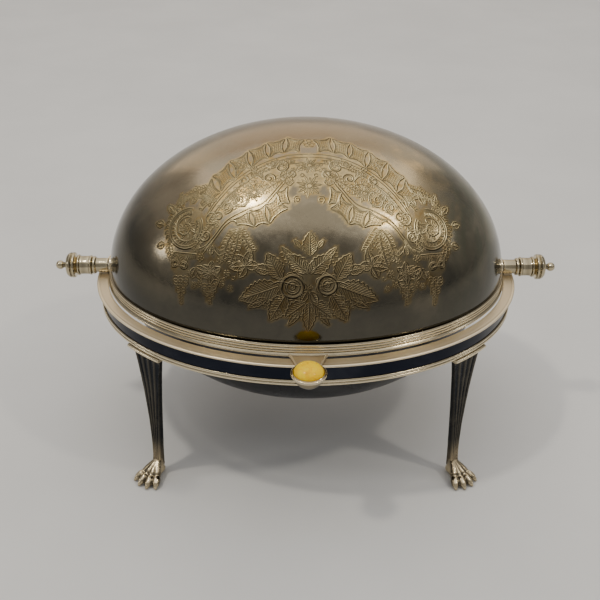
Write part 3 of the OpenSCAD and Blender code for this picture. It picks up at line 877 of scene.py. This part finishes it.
def engraved_ground(s, lift):
    """How densely the dome is engraved near each point, from 0 to 1."""
    cell = 0.8
    size = np.array((340, 260))
    field = np.zeros(size)
    for chart_points, width in STROKES:
        place, _ = dome_point(chart_points[:, 0], chart_points[:, 1])
        gone = travelled(place)
        at = np.arange(0, gone[-1], 0.4)
        i = np.interp(at, gone, chart_points[:, 0]) / cell + size[0] / 2
        j = np.interp(at, gone, chart_points[:, 1]) * DOME_R / cell
        where = np.clip(np.stack([i, j]), 0, size[:, None] - 1).astype(int)
        np.add.at(field, tuple(where), width)
    kernel = np.exp(-np.linspace(-1.6, 1.6, 5) ** 2)
    kernel /= kernel.sum()
    for axis in (0, 1):
        field = np.apply_along_axis(lambda row: np.convolve(row, kernel, "same"), axis, field)
    field = np.clip((field - 0.03) / 0.20, 0, 1)
    i = np.clip(s / cell + size[0] / 2, 0, size[0] - 1).astype(int)
    j = np.clip(lift * DOME_R / cell, 0, size[1] - 1).astype(int)
    ground = field[i, j]
    for middle, at_lift, across, high in FILLS:
        away = np.hypot((s - middle) / across, (lift - at_lift) * radius_at(middle) / high)
        ground = np.maximum(ground, np.clip((1.0 - away) * 5, 0, 0.85))
    return ground


def build_engraving():
    engrave()
    points, faces, edge = ribbons(STROKES)
    piece("dome_engraving", points, faces, "cut", "dome", None, edge, 180, "edge", False)


def build_shell():
    """The dome's sheet, which ends at the pins: where its radius is theirs."""
    end = float(np.interp(DOME_A * math.sqrt(1 - (PIN_R / DOME_R) ** 2), OUTLINE_X, OUTLINE_S))
    s, t = np.meshgrid(end * np.sin(np.linspace(-math.pi / 2, math.pi / 2, 330)),
                       np.linspace(0, math.pi, 230), indexing="ij")
    outer, _ = dome_point(s, t)
    inner, _ = dome_point(s, t, DOME_T)
    inner[..., 2] = np.maximum(inner[..., 2], 0.0)
    rows, columns = s.shape
    n = rows * columns
    skin = grid(rows, columns)
    faces = skin + [f[::-1] for f in grid(rows, columns, start=n)]
    border = [i * columns for i in range(rows)] + [(rows - 1) * columns + j for j in range(1, columns)]
    border += [i * columns + columns - 1 for i in range(rows - 2, -1, -1)]
    border += [j for j in range(columns - 2, 0, -1)]
    faces += [[a, b, b + n, a + n] for a, b in zip(border, border[1:] + border[:1])]
    ground = np.concatenate([engraved_ground(s, t).reshape(-1), np.zeros(n)])
    shell = piece("dome_shell_fine", np.concatenate([outer.reshape(-1, 3), inner.reshape(-1, 3)]), faces,
                  "dome", "dome", "dome_shell", ground, 60, "engraved")
    second_look(shell, "inside", np.arange(len(faces)) >= len(skin))


def build_rim():
    """A flared foot with three reeds above it, bored for the pins."""
    profile = [(-3.0, -4.5), (-0.5, -4.5), (0.0, -4.2), (0.0, -3.7), (-0.25, -3.4), (-0.9, -2.8),
               (-1.3, -2.4)]
    # Wear with painted sheen and shade for each profile point: high values bright, low values dark
    wear_sheen_and_shade = [0.2, 0.8, 1.0, 1.0, 0.6, 0.42, 0.12]
    reed_profile, reed_wear_sheen_and_shade = reeds(-1.9, -1.3, 1.0, 3, 72)
    profile += reed_profile + [(-2.1, 3.72), (-3.0, 3.1)]
    wear_sheen_and_shade += reed_wear_sheen_and_shade + [0.3, 0.1]
    rim = oval_piece("dome_rim_reeds", DOME_A + 1.9, DOME_R + 4.1, profile, wear_sheen_and_shade,
                     "bright", "dome", "dome_rim")
    bores = bmesh.new()
    for side in (-1, 1):
        bmesh.ops.create_cone(bores, cap_ends=True, segments=64, radius1=(PIN_R + 0.03) * MM,
                              radius2=(PIN_R + 0.03) * MM, depth=0.020,
                              matrix=from_axis(side * DOME_A, 0, 0) @ Matrix.Rotation(math.pi / 2, 4, "Y"))
    carve(rim, bores, "pin_bores")


def build_eyes():
    """A round eye on the rim at each pivot."""
    profile = [(3.1, 140.9), (6.5, 140.9), (6.8, 141.2), (6.8, 143.2), (6.5, 143.65), (5.9, 143.7),
               (3.1, 143.7)]
    # Wear with painted sheen and shade for each profile point: high values bright, low values dark
    wear_sheen_and_shade = [0.2, 0.4, 0.9, 1.0, 1.0, 0.8, 0.5]
    points, faces = turned(profile)
    both = np.concatenate([along_x(points, -1), along_x(points, 1)])
    faces += [[v + len(points) for v in f] for f in faces]
    piece("dome_rim_eyes", both, faces, "bright", "dome", "dome_rim",
          np.tile(np.repeat(wear_sheen_and_shade, TURN_STEPS), 2), 50)


# ---------------------------------------------------------------- stand ring

RING_A, RING_B = 152.2, 120.7
BAND_A, BAND_B = RING_A - 3.4, RING_B - 3.4
FLANGE_TOP = -5.2
RING_BOTTOM = -22.4
REEDS_TOP = RING_BOTTOM + 4.4


def build_ring():
    top = FLANGE_TOP
    profile = [(x, top + z) for x, z in (
        (-8.3, -1.8), (-8.3, -0.25), (-8.05, 0), (-7.5, 0), (-6.0, 0), (-5.0, 0), (-3.6, 0),
        (-2.5, 0), (-2.0, -0.14), (-1.7, -0.02), (-1.3, 0.02),
    )]
    # Wear with painted sheen and shade for each profile point: high values bright, low values dark
    wear_sheen_and_shade = [0.2, 0.9, 0.9, 0.62, 0.55, 0.5, 0.5, 0.45, 0.05, 0.6, 0.95]
    profile += arc((-0.85, top - 0.85), 0.85, 90, -90, 12)
    wear_sheen_and_shade += [1.0] * 5 + [0.9, 0.75, 0.6, 0.4, 0.3, 0.2, 0.1]
    band = [(-1.8, top - 1.8), (-3.4, top - 2.0), (-3.4, REEDS_TOP), (-4.6, REEDS_TOP), (-4.6, top - 1.8)]
    profile += band
    wear_sheen_and_shade += [0.0] * len(band)
    made = oval_piece("rim_ring_fine", RING_A, RING_B, profile, wear_sheen_and_shade, "flange", "stand", "rim_ring")
    place = np.arange(len(made.data.polygons)) % len(profile)
    second_look(made, "band", place >= len(profile) - len(band))
    profile, wear_sheen_and_shade = reeds(0, RING_BOTTOM + 1.1, 1.1, 2, 80)
    profile = [(-1.2, RING_BOTTOM), (-0.2, RING_BOTTOM)] + profile + [(-0.2, REEDS_TOP), (-1.2, REEDS_TOP)]
    wear_sheen_and_shade = [0.1, 0.2] + wear_sheen_and_shade + [0.2, 0.1]
    oval_piece("rim_reeds_fine", BAND_A, BAND_B, profile, wear_sheen_and_shade, "bright", "stand", "rim_reeds", 60)


# ---------------------------------------------------------------- legs

LEG_X = 108.0
LEG_Y = BAND_B * math.sqrt(1 - (LEG_X / BAND_A) ** 2)
LEG_OUT = math.atan2(LEG_Y / BAND_B ** 2, LEG_X / BAND_A ** 2)
LEG_TOP = RING_BOTTOM - 2.8 - TABLE
PAW_AIM = math.radians(9)
FOOT_LEAN = 3.0
CAP_SHIFT = 2.5
CAP_HALF = 15.0
CAP_STEPS = 40


def leg_blade(rows=90, across=81):
    """A fluted blade in the leg's own frame: X outwards, Y along the ring, Z up from the table."""
    z = np.linspace(LEG_TOP + 0.2, 8.0, rows)
    top = LEG_TOP + 0.2
    half = np.interp(z, [8, 16, 24, 34, 46, 60, 72, 88, top], [3.2, 2.75, 2.9, 3.5, 4.4, 5.9, 7.4, 9.8, 12.2])
    face = np.interp(z, [8, 16, 30, 46, 72, top], [3.2, 2.3, 1.3, 0.6, 0.0, 0.0])
    depth = np.interp(z, [8, 16, 46, 72, top], [6.2, 6.0, 5.4, 5.0, 4.6])
    cut = np.interp(z, [8, 16, 30, 60, 97, 99.4, top], [0.1, 0.35, 0.65, 1.15, 1.35, 0.3, 0.0])
    w = np.linspace(0, 1, across)
    flute = 1 - np.abs(np.cos(math.pi * 4 * w)) ** 9
    points, wear_sheen_and_shade = [], []
    for zi, hi, fi, di, ci in zip(z, half, face, depth, cut):
        v = (2 * w - 1) * hi
        front = np.stack([fi - ci * flute - 0.5 * (2 * w - 1) ** 2 * hi / 12, v, np.full(across, zi)], 1)
        back = [(fi - di * 0.5, hi * 0.985, zi), (fi - di + 0.7, hi * 0.95, zi), (fi - di, hi * 0.86, zi),
                (fi - di, -hi * 0.86, zi), (fi - di + 0.7, -hi * 0.95, zi), (fi - di * 0.5, -hi * 0.985, zi)]
        points += [front, np.array(back)]
        # Ridges between the flutes bright, with the flutes and the back dark: partly wear and partly painted
        # highlight and shade; the ridges grow brighter lower down
        ridge_sheen_and_wear = np.interp(zi, [10, 30, 60, 101], [1.0, 0.75, 0.6, 0.5])
        wear_sheen_and_shade += [np.clip((1 - flute) ** 0.8 * ridge_sheen_and_wear, 0, 1), np.full(6, 0.06)]
    n = across + 6
    faces = grid(rows, n, False, True) + [list(range(n)), list(range((rows - 1) * n, rows * n))]
    return np.concatenate(points), faces, np.concatenate(wear_sheen_and_shade)


TOES = (-27, -9, 9, 27)


def paw_shape():
    """A lion's paw remeshed from balls strung along its bones: X forwards, Z up from the table."""
    chains = [
        [((-1.4, 0, 16), 2.2), ((-0.4, 0, 12.5), 3.0), ((1.4, 0, 7), 4.4)],
        [((0.0, 0, 4.4), 4.4), ((5.0, 0, 4.6), 4.8), ((8.0, 0, 4.0), 4.0)],
    ]
    for turn in TOES:
        c, s = math.cos(math.radians(turn)), math.sin(math.radians(turn))
        reach = 1.0 if abs(turn) < 20 else 0.94

        def bone(x, z):
            return (1.0 + x * c * reach, x * s * reach + 0.035 * turn, z)
        chains.append([(bone(1.5, 11.5), 2.0), (bone(5.0, 9.0), 2.6), (bone(8.4, 6.9), 2.75),
                       (bone(10.6, 5.2), 2.45), (bone(13.4, 4.4), 3.05), (bone(15.6, 3.4), 2.8)])
        chains.append([(bone(16.4, 3.3), 2.1), (bone(17.8, 2.5), 1.7), (bone(18.9, 1.5), 1.1)])
    ball = bmesh.new()
    for chain in chains:
        for (p, r), (q, t) in zip(chain, chain[1:]):
            for k in np.linspace(0, 1, 9):
                centre = (1 - k) * np.array(p) + k * np.array(q)
                bmesh.ops.create_icosphere(ball, subdivisions=2, radius=((1 - k) * r + k * t) * MM,
                                           matrix=Matrix.Translation(Vector(centre * MM)))
    mesh = bpy.data.meshes.new("paw_form")
    ball.to_mesh(mesh)
    ball.free()
    form = link("paw_form", mesh)
    remesh = form.modifiers.new("skin", "REMESH")
    remesh.mode = "VOXEL"
    remesh.voxel_size = 0.00040
    relax = form.modifiers.new("relax", "SMOOTH")
    relax.factor = 0.5
    relax.iterations = 3
    ready = form.evaluated_get(bpy.context.evaluated_depsgraph_get()).to_mesh()
    points = np.array([v.co for v in ready.vertices]) / MM
    faces = [list(f.vertices) for f in ready.polygons]
    bpy.data.objects.remove(form)
    points[:, 2] = np.maximum(points[:, 2], 0.0)
    out = np.hypot(points[:, 0] - 1.0, points[:, 1])
    angle = np.degrees(np.arctan2(points[:, 1], points[:, 0] - 1.0))
    away = np.min(np.abs(angle[:, None] - np.array(TOES) * 1.12), axis=1)
    ridge = np.clip(1 - away / 7.6, 0, 1) ** 0.8
    toes = np.clip((points[:, 0] - 4) / 4, 0, 1)
    joint = 1 - 0.6 * np.exp(-((out - 10.9) / 0.9) ** 2)
    # Toe ridges bright, with the gaps between toes and a dip at each knuckle dark: partly wear and partly
    # painted highlight and shade. The lowest 3 mm, where the paw meets the table, is darkened as a painted
    # contact shadow
    wear_sheen_and_shade = np.clip(points[:, 2] / 3.0, 0.0, 1.0) * (0.6 * (1 - toes) + toes * ridge * joint)
    wear_sheen_and_shade *= np.interp(points[:, 2], [8, 13], [1.0, 0.35])
    return points, faces, np.clip(wear_sheen_and_shade * 1.15, 0, 1)


def turn_z(points, angle):
    c, s = math.cos(angle), math.sin(angle)
    x, y, z = points.T
    return np.stack([c * x - s * y, s * x + c * y, z], 1)


def build_legs():
    blade, blade_faces, blade_wear_sheen_and_shade = leg_blade()
    paw, paw_faces, paw_wear_sheen_and_shade = paw_shape()
    at = math.acos(LEG_X / BAND_A)
    speed = math.hypot(BAND_A * math.sin(at), BAND_B * math.cos(at))
    spread = CAP_HALF / speed
    low = LEG_TOP + TABLE
    cap = [(-5.0, low), (0.6, low)] + arc((0.9, low + 1.4), 1.4, -80, 80, 12)
    cap += [(0.6, low + 2.8), (-5.0, low + 2.8)]
    # Wear with painted sheen and shade for each profile point: high values bright, low values dark
    cap_wear_sheen_and_shade = np.tile([0.2, 0.4] + crest(12, 0.15) + [0.3, 0.1], CAP_STEPS)
    for end_name, end in ENDS.items():
        for side_name, side in SIDES.items():
            where = f"{end_name}_{side_name}"
            angle = math.atan2(end * math.sin(LEG_OUT), side * math.cos(LEG_OUT))
            foot = np.array([side * LEG_X, end * LEG_Y, TABLE])
            lean = side * end * FOOT_LEAN
            leaning = blade + np.outer(1 - blade[:, 2] / LEG_TOP, [0, lean, 0])
            piece(f"leg_blade_{where}", turn_z(leaning, angle) + foot, blade_faces, "leg", "stand",
                  f"leg_{where}", blade_wear_sheen_and_shade, 50)
            aimed = turn_z(paw, side * end * PAW_AIM) + np.array([0, lean * 0.95, 0])
            piece(f"leg_paw_{where}", turn_z(aimed, angle) + foot, paw_faces, "paw", "stand",
                  f"leg_{where}", paw_wear_sheen_and_shade, 180)
            middle = math.atan2(end * math.sin(at), side * math.cos(at)) - side * end * CAP_SHIFT / speed
            points, faces = oval_sweep(BAND_A, BAND_B, cap, middle - spread, middle + spread, CAP_STEPS)
            piece(f"leg_cap_plate_{where}", points, faces, "bright", "stand", f"leg_cap_{where}", cap_wear_sheen_and_shade)


# ---------------------------------------------------------------- handles

def build_handles():
    barrel = [(3.02, 144.7), (5.0, 144.7), (5.2, 145.0), (5.2, 152.2), (5.3, 153.2)]
    barrel += arc((4.9, 154.9), 1.6, -75, 80, 12) + [(5.6, 156.5)]
    barrel += arc((6.3, 157.3), 0.9, -80, 80, 10) + [(6.5, 158.5), (6.75, 158.9)]
    barrel += [(6.62, 160.5), (6.6, 162.0), (6.65, 163.6), (6.85, 164.7), (6.6, 165.1)]
    barrel += arc((6.75, 166.1), 0.9, -80, 80, 10) + [(6.3, 167.3), (5.9, 168.4), (3.02, 168.4)]
    finial = [(0.0, 168.4), (8.0, 168.4)] + arc((8.1, 169.6), 1.2, -80, 60, 10)
    finial += [(8.9, 170.4), (9.25, 170.7), (9.0, 171.1), (8.7, 171.2), (8.95, 171.6)]
    finial += arc((5.1, 171.0), 4.2, 12, 60, 10) + [(5.2, 175.0), (3.3, 175.3), (2.5, 175.9)]
    finial += [(2.0, 176.6), (2.0, 177.4)] + arc((0, 180.0), 3.2, -52, 89.9, 20) + [(0.0, 183.2)]
    for name, side in SIDES.items():
        for node, profile in ((f"handle_barrel_{name}", barrel), (f"handle_finial_{name}", finial)):
            fine = refine(profile, 1.2)
            radius = np.array([r for r, _ in fine])
            near = np.convolve(np.pad(radius, 2, mode="edge"), np.ones(5) / 5, "valid")
            # Beads bright and grooves dark, from each radius against its neighbours: partly wear and partly
            # painted highlight and shade
            wear_sheen_and_shade = np.clip(0.52 + (radius - near) * 1.8, 0, 1)
            points, faces = turned(fine)
            piece(f"{node}_turned", along_x(points, side), faces, "handle", "stand", node,
                  np.repeat(wear_sheen_and_shade, TURN_STEPS), 50)


# ---------------------------------------------------------------- pan and serving dish

PAN_A, PAN_R, PAN_T = 131.0, 97.0, 1.2
PAN_TOP = -6.0
PAN_K = math.sqrt(1 - (PAN_TOP / PAN_R) ** 2)
DISH_TOP, DISH_FLOOR, DISH_RATIO = -4.7, -48.7, 0.72


def bowl(outline, steps=240):
    """A closed skin from (half length, half width, height) levels, each joined to the next."""
    t = np.linspace(0, TAU, steps, endpoint=False)
    rows = [np.stack([a * np.cos(t), b * np.sin(t), np.full(steps, float(z))], 1) for a, b, z in outline]
    return np.concatenate(rows), grid(len(outline), steps, True, True)


def pan_skin(a, r):
    """Levels of one skin of the pan, from its edge down to its bottom."""
    return [(a * math.cos(angle), r * math.cos(angle), -r * math.sin(angle))
            for angle in np.radians(np.linspace(math.degrees(math.asin(-PAN_TOP / r)), 89.9, 60))]


def build_pan():
    levels = pan_skin(PAN_A, PAN_R) + pan_skin(PAN_A - PAN_T, PAN_R - PAN_T)[::-1]
    points, faces = bowl(levels)
    piece("water_pan_fine", points, faces, "dark", "stand", "water_pan", None, 50)
    oval_piece("pan_rim_wire_fine", PAN_A * PAN_K, PAN_R * PAN_K, arc((1.3, PAN_TOP), 1.3, 0, 342, 20),
               [0.7] * 20, "bright", "stand", "pan_rim_wire", 60)


def build_dish():
    """A rolled rim on the pan's wire, sloping walls and a rounded foot, notched for the hangers."""
    rim_a, rim_b, k = PAN_A * PAN_K + 2.6, PAN_R * PAN_K + 2.6, DISH_RATIO
    top, floor = DISH_TOP, DISH_FLOOR
    inner = [(rim_a - 0.6, rim_b - 0.6, top + 1.2), (126, 92.0, top + 1.15), (123.2, 89.6, top + 0.9)]
    inner += [(120.8 - 19.0 * u, (122.0 - 19.0 * u) * k - 0.9, top - 44.0 * u)
              for u in np.linspace(0.02, 0.86, 16)]
    inner += [(a, a * k, floor + z)
              for a, z in ((103.2, 5.4), (101.5, 3.4), (98.4, 1.9), (94, 1.25), (60, 1.2))]
    outer = [(a, a * k, floor + z) for a, z in ((60, 0), (96, 0), (101, 0.9), (104, 3.2), (105.2, 6.0))]
    outer += [(104.0 + 19.0 * u, (104.0 + 19.0 * u) * k, floor + 44.0 * u)
              for u in np.linspace(0.16, 0.97, 14)]
    outer += [(124.5, 90.4, top), (rim_a - 0.5, rim_b - 0.5, top), (rim_a, rim_b, top + 0.3),
              (rim_a, rim_b, top + 0.9)]
    points, faces = bowl(inner + [(0.5, 0.4, floor + 1.2), (0.5, 0.4, floor)] + outer)
    dish = piece("serving_dish_fine", points, faces, "inside", "stand", "serving_dish")
    cutter = bmesh.new()
    for side in (-1, 1):
        bmesh.ops.create_cube(cutter, size=1.0, matrix=from_axis(side * 133.6, 0, top + 0.6)
                              @ Matrix.Diagonal((0.020, 0.019, 0.006, 1)))
    carve(dish, cutter, "notches")


# ---------------------------------------------------------------- thumbpiece

BUTTON_Y = 131.0
BUTTON_R = 9.3
LUG_BACK = DOME_R + 3.2
LUG_FRONT = BUTTON_Y - 7.4


def build_cup():
    bottom = -13.0
    profile = [(0.9, bottom)]
    profile += [(BUTTON_R * math.sin(t), bottom + 8.4 * (1 - math.cos(t)))
                for t in np.radians(np.linspace(12, 88, 14))]
    profile += [(10.2, -4.5), (11.0, -4.3)] + arc((10.7, -3.2), 0.7, -60, 90, 10)
    profile += [(10.2, -2.55), (9.9, -2.2), (9.6, -2.4), (9.55, -4.2), (0.9, -4.2)]
    # Wear with painted sheen and shade for each profile point: high values bright, low values dark
    wear_sheen_and_shade = [0.16] * 15 + [0.3, 0.7] + [0.9] * 10 + [1.0, 1.0, 0.6, 0.1, 0.1]
    points, faces = turned(profile)
    points[:, 1] -= BUTTON_Y
    piece("button_cup_fine", points, faces, "bright", "dome", "button_cup", np.repeat(wear_sheen_and_shade, TURN_STEPS))


def build_button():
    profile = [(0.0, -4.2), (BUTTON_R, -4.2), (BUTTON_R, -2.4)]
    profile += [(BUTTON_R * math.cos(t) ** 0.92, -2.4 + 5.8 * math.sin(t))
                for t in np.radians(np.linspace(4, 89.9, 26))]
    points, faces = turned(profile)
    points[:, 1] -= BUTTON_Y
    piece("button_fine", points, faces, "amber", "dome", "button", None, 50)


def build_lug():
    """A shallow tray: a sunk plate between two raised edges that narrow towards the cup."""
    rows, points = 16, []
    edge = [(0, -4.5), (0, -3.0), (0.3, -2.75), (0.9, -2.75), (1.2, -3.1), (1.9, -3.4)]
    # Wear with painted sheen and shade for each profile point: high values bright, low values dark
    wear_sheen_and_shade = [0.2, 0.8, 1.0, 1.0, 0.55, 0.6]
    for u in np.linspace(0, 1, rows):
        y = -LUG_BACK - u * (LUG_FRONT - LUG_BACK)
        half = 12.6 + (7.6 - 12.6) * u ** 0.8
        section = [(x - half, z) for x, z in edge] + [(0, -3.5)] + [(half - x, z) for x, z in edge[::-1]]
        points += [(x, y, z) for x, z in section]
    n = 2 * len(edge) + 1
    faces = grid(rows, n, False, True) + [list(range(n)), list(range((rows - 1) * n, rows * n))]
    piece("thumb_lug_fine", points, faces, "flange", "dome", "thumb_lug",
          np.tile(wear_sheen_and_shade + [0.75] + wear_sheen_and_shade[::-1], rows))


# ---------------------------------------------------------------- assembly

for build in (build_engraving, build_shell, build_rim, build_eyes, build_ring, build_legs, build_handles,
              build_pan, build_dish, build_cup, build_button, build_lug):
    build()

CARRIED = {
    "inside": ("pivot_saddle_left", "pivot_saddle_right", "pan_hanger_left", "pan_hanger_right",
               "drainer_plate", "drainer_feet", "dome_boss_left", "dome_boss_right"),
    "steel": ("pivot_pin_left", "pivot_pin_right", "pivot_spacer_left", "pivot_spacer_right",
              "hanger_rivets", "pan_nuts", "button_rivet"),
}
for look, node_names in CARRIED.items():
    for node_name in node_names:
        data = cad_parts[node_name].data
        data.materials.clear()
        data.materials.append(MATERIALS[look])


# ---------------------------------------------------------------- stage, light and camera

def floor_look(place):
    cloud = place.noise(6.0, 4.0, 0.55)
    grain = place.noise(900.0, 2.0, 0.6)
    colour = cloud.ramp([(0.35, (0.66, 0.66, 0.655)), (0.65, (0.70, 0.70, 0.695))])
    return colour, grain.remap(0.3, 0.7, 0.72, 0.82), bump([(grain, 0.03)], 0.0005)


def build_stage():
    """A pale floor that curves up into a wall far behind."""
    depth = [(y, 0.0) for y in (-2.2, -1.0, 0.0, 1.0, 1.6)]
    depth += [(1.6 + 0.9 * math.sin(t), 0.9 - 0.9 * math.cos(t)) for t in np.radians(np.linspace(8, 90, 12))]
    depth += [(2.5, 1.6), (2.5, 2.8)]
    points = [(x, y, z - 0.00005) for y, z in depth for x in np.linspace(-3.2, 3.2, 9)]
    mesh = bpy.data.meshes.new("stage_floor")
    mesh.from_pydata(points, [], grid(len(depth), 9))
    mesh.shade_smooth()
    made = link("stage_floor", mesh)
    mesh.materials.append(material("pale_floor", floor_look, metallic=0.0))


def soft_light(name, at, size, power, aim=(0, 0.01, 0.13), colour=(1.0, 0.97, 0.93)):
    data = bpy.data.lights.new(name, "AREA")
    data.shape = "RECTANGLE"
    data.size, data.size_y = size
    data.energy = power
    data.color = colour
    made = link(name, data)
    made.location = at
    made.rotation_euler = (Vector(aim) - Vector(at)).to_track_quat("-Z", "Y").to_euler()


def build_light():
    world = bpy.data.worlds.new("studio")
    bpy.context.scene.world = world
    world.use_nodes = True
    back = world.node_tree.nodes["Background"]
    back.inputs["Color"].default_value = (0.80, 0.79, 0.78, 1)
    back.inputs["Strength"].default_value = 0.42
    soft_light("overhead", (0.0, 0.15, 2.4), (4.2, 3.8), 46)
    soft_light("behind", (0.0, 2.15, 1.40), (3.6, 1.5), 12, (0, 0.0, 0.14), (1.0, 0.84, 0.64))
    soft_light("left_high", (-0.62, -0.28, 1.62), (0.10, 0.10), 6.0, colour=(1.0, 0.93, 0.80))
    soft_light("right_high", (0.95, -0.52, 1.42), (0.10, 0.10), 4.0, colour=(1.0, 0.93, 0.80))
    soft_light("left_side", (-1.7, -0.25, 0.62), (0.22, 0.22), 1.3)
    soft_light("right_side", (1.7, -0.2, 0.95), (0.22, 0.22), 1.3)


def build_camera():
    pitch, yaw, roll = 0.54054, 0.012311, 0.010006
    ahead = Vector((math.sin(yaw) * math.cos(pitch), math.cos(yaw) * math.cos(pitch), -math.sin(pitch)))
    right = Vector((math.cos(yaw), -math.sin(yaw), 0))
    up = right.cross(ahead)
    right, up = right * math.cos(roll) + up * math.sin(roll), up * math.cos(roll) - right * math.sin(roll)
    data = bpy.data.cameras.new("photo_view")
    data.sensor_width = 36.0
    data.lens = 54.009
    made = link("photo_view", data)
    turn = Matrix((right, up, -ahead)).transposed().to_4x4()
    made.matrix_world = Matrix.Translation((-0.01139, -0.56924, 0.44478)) @ turn
    bpy.context.scene.camera = made


build_stage()
build_light()
build_camera()
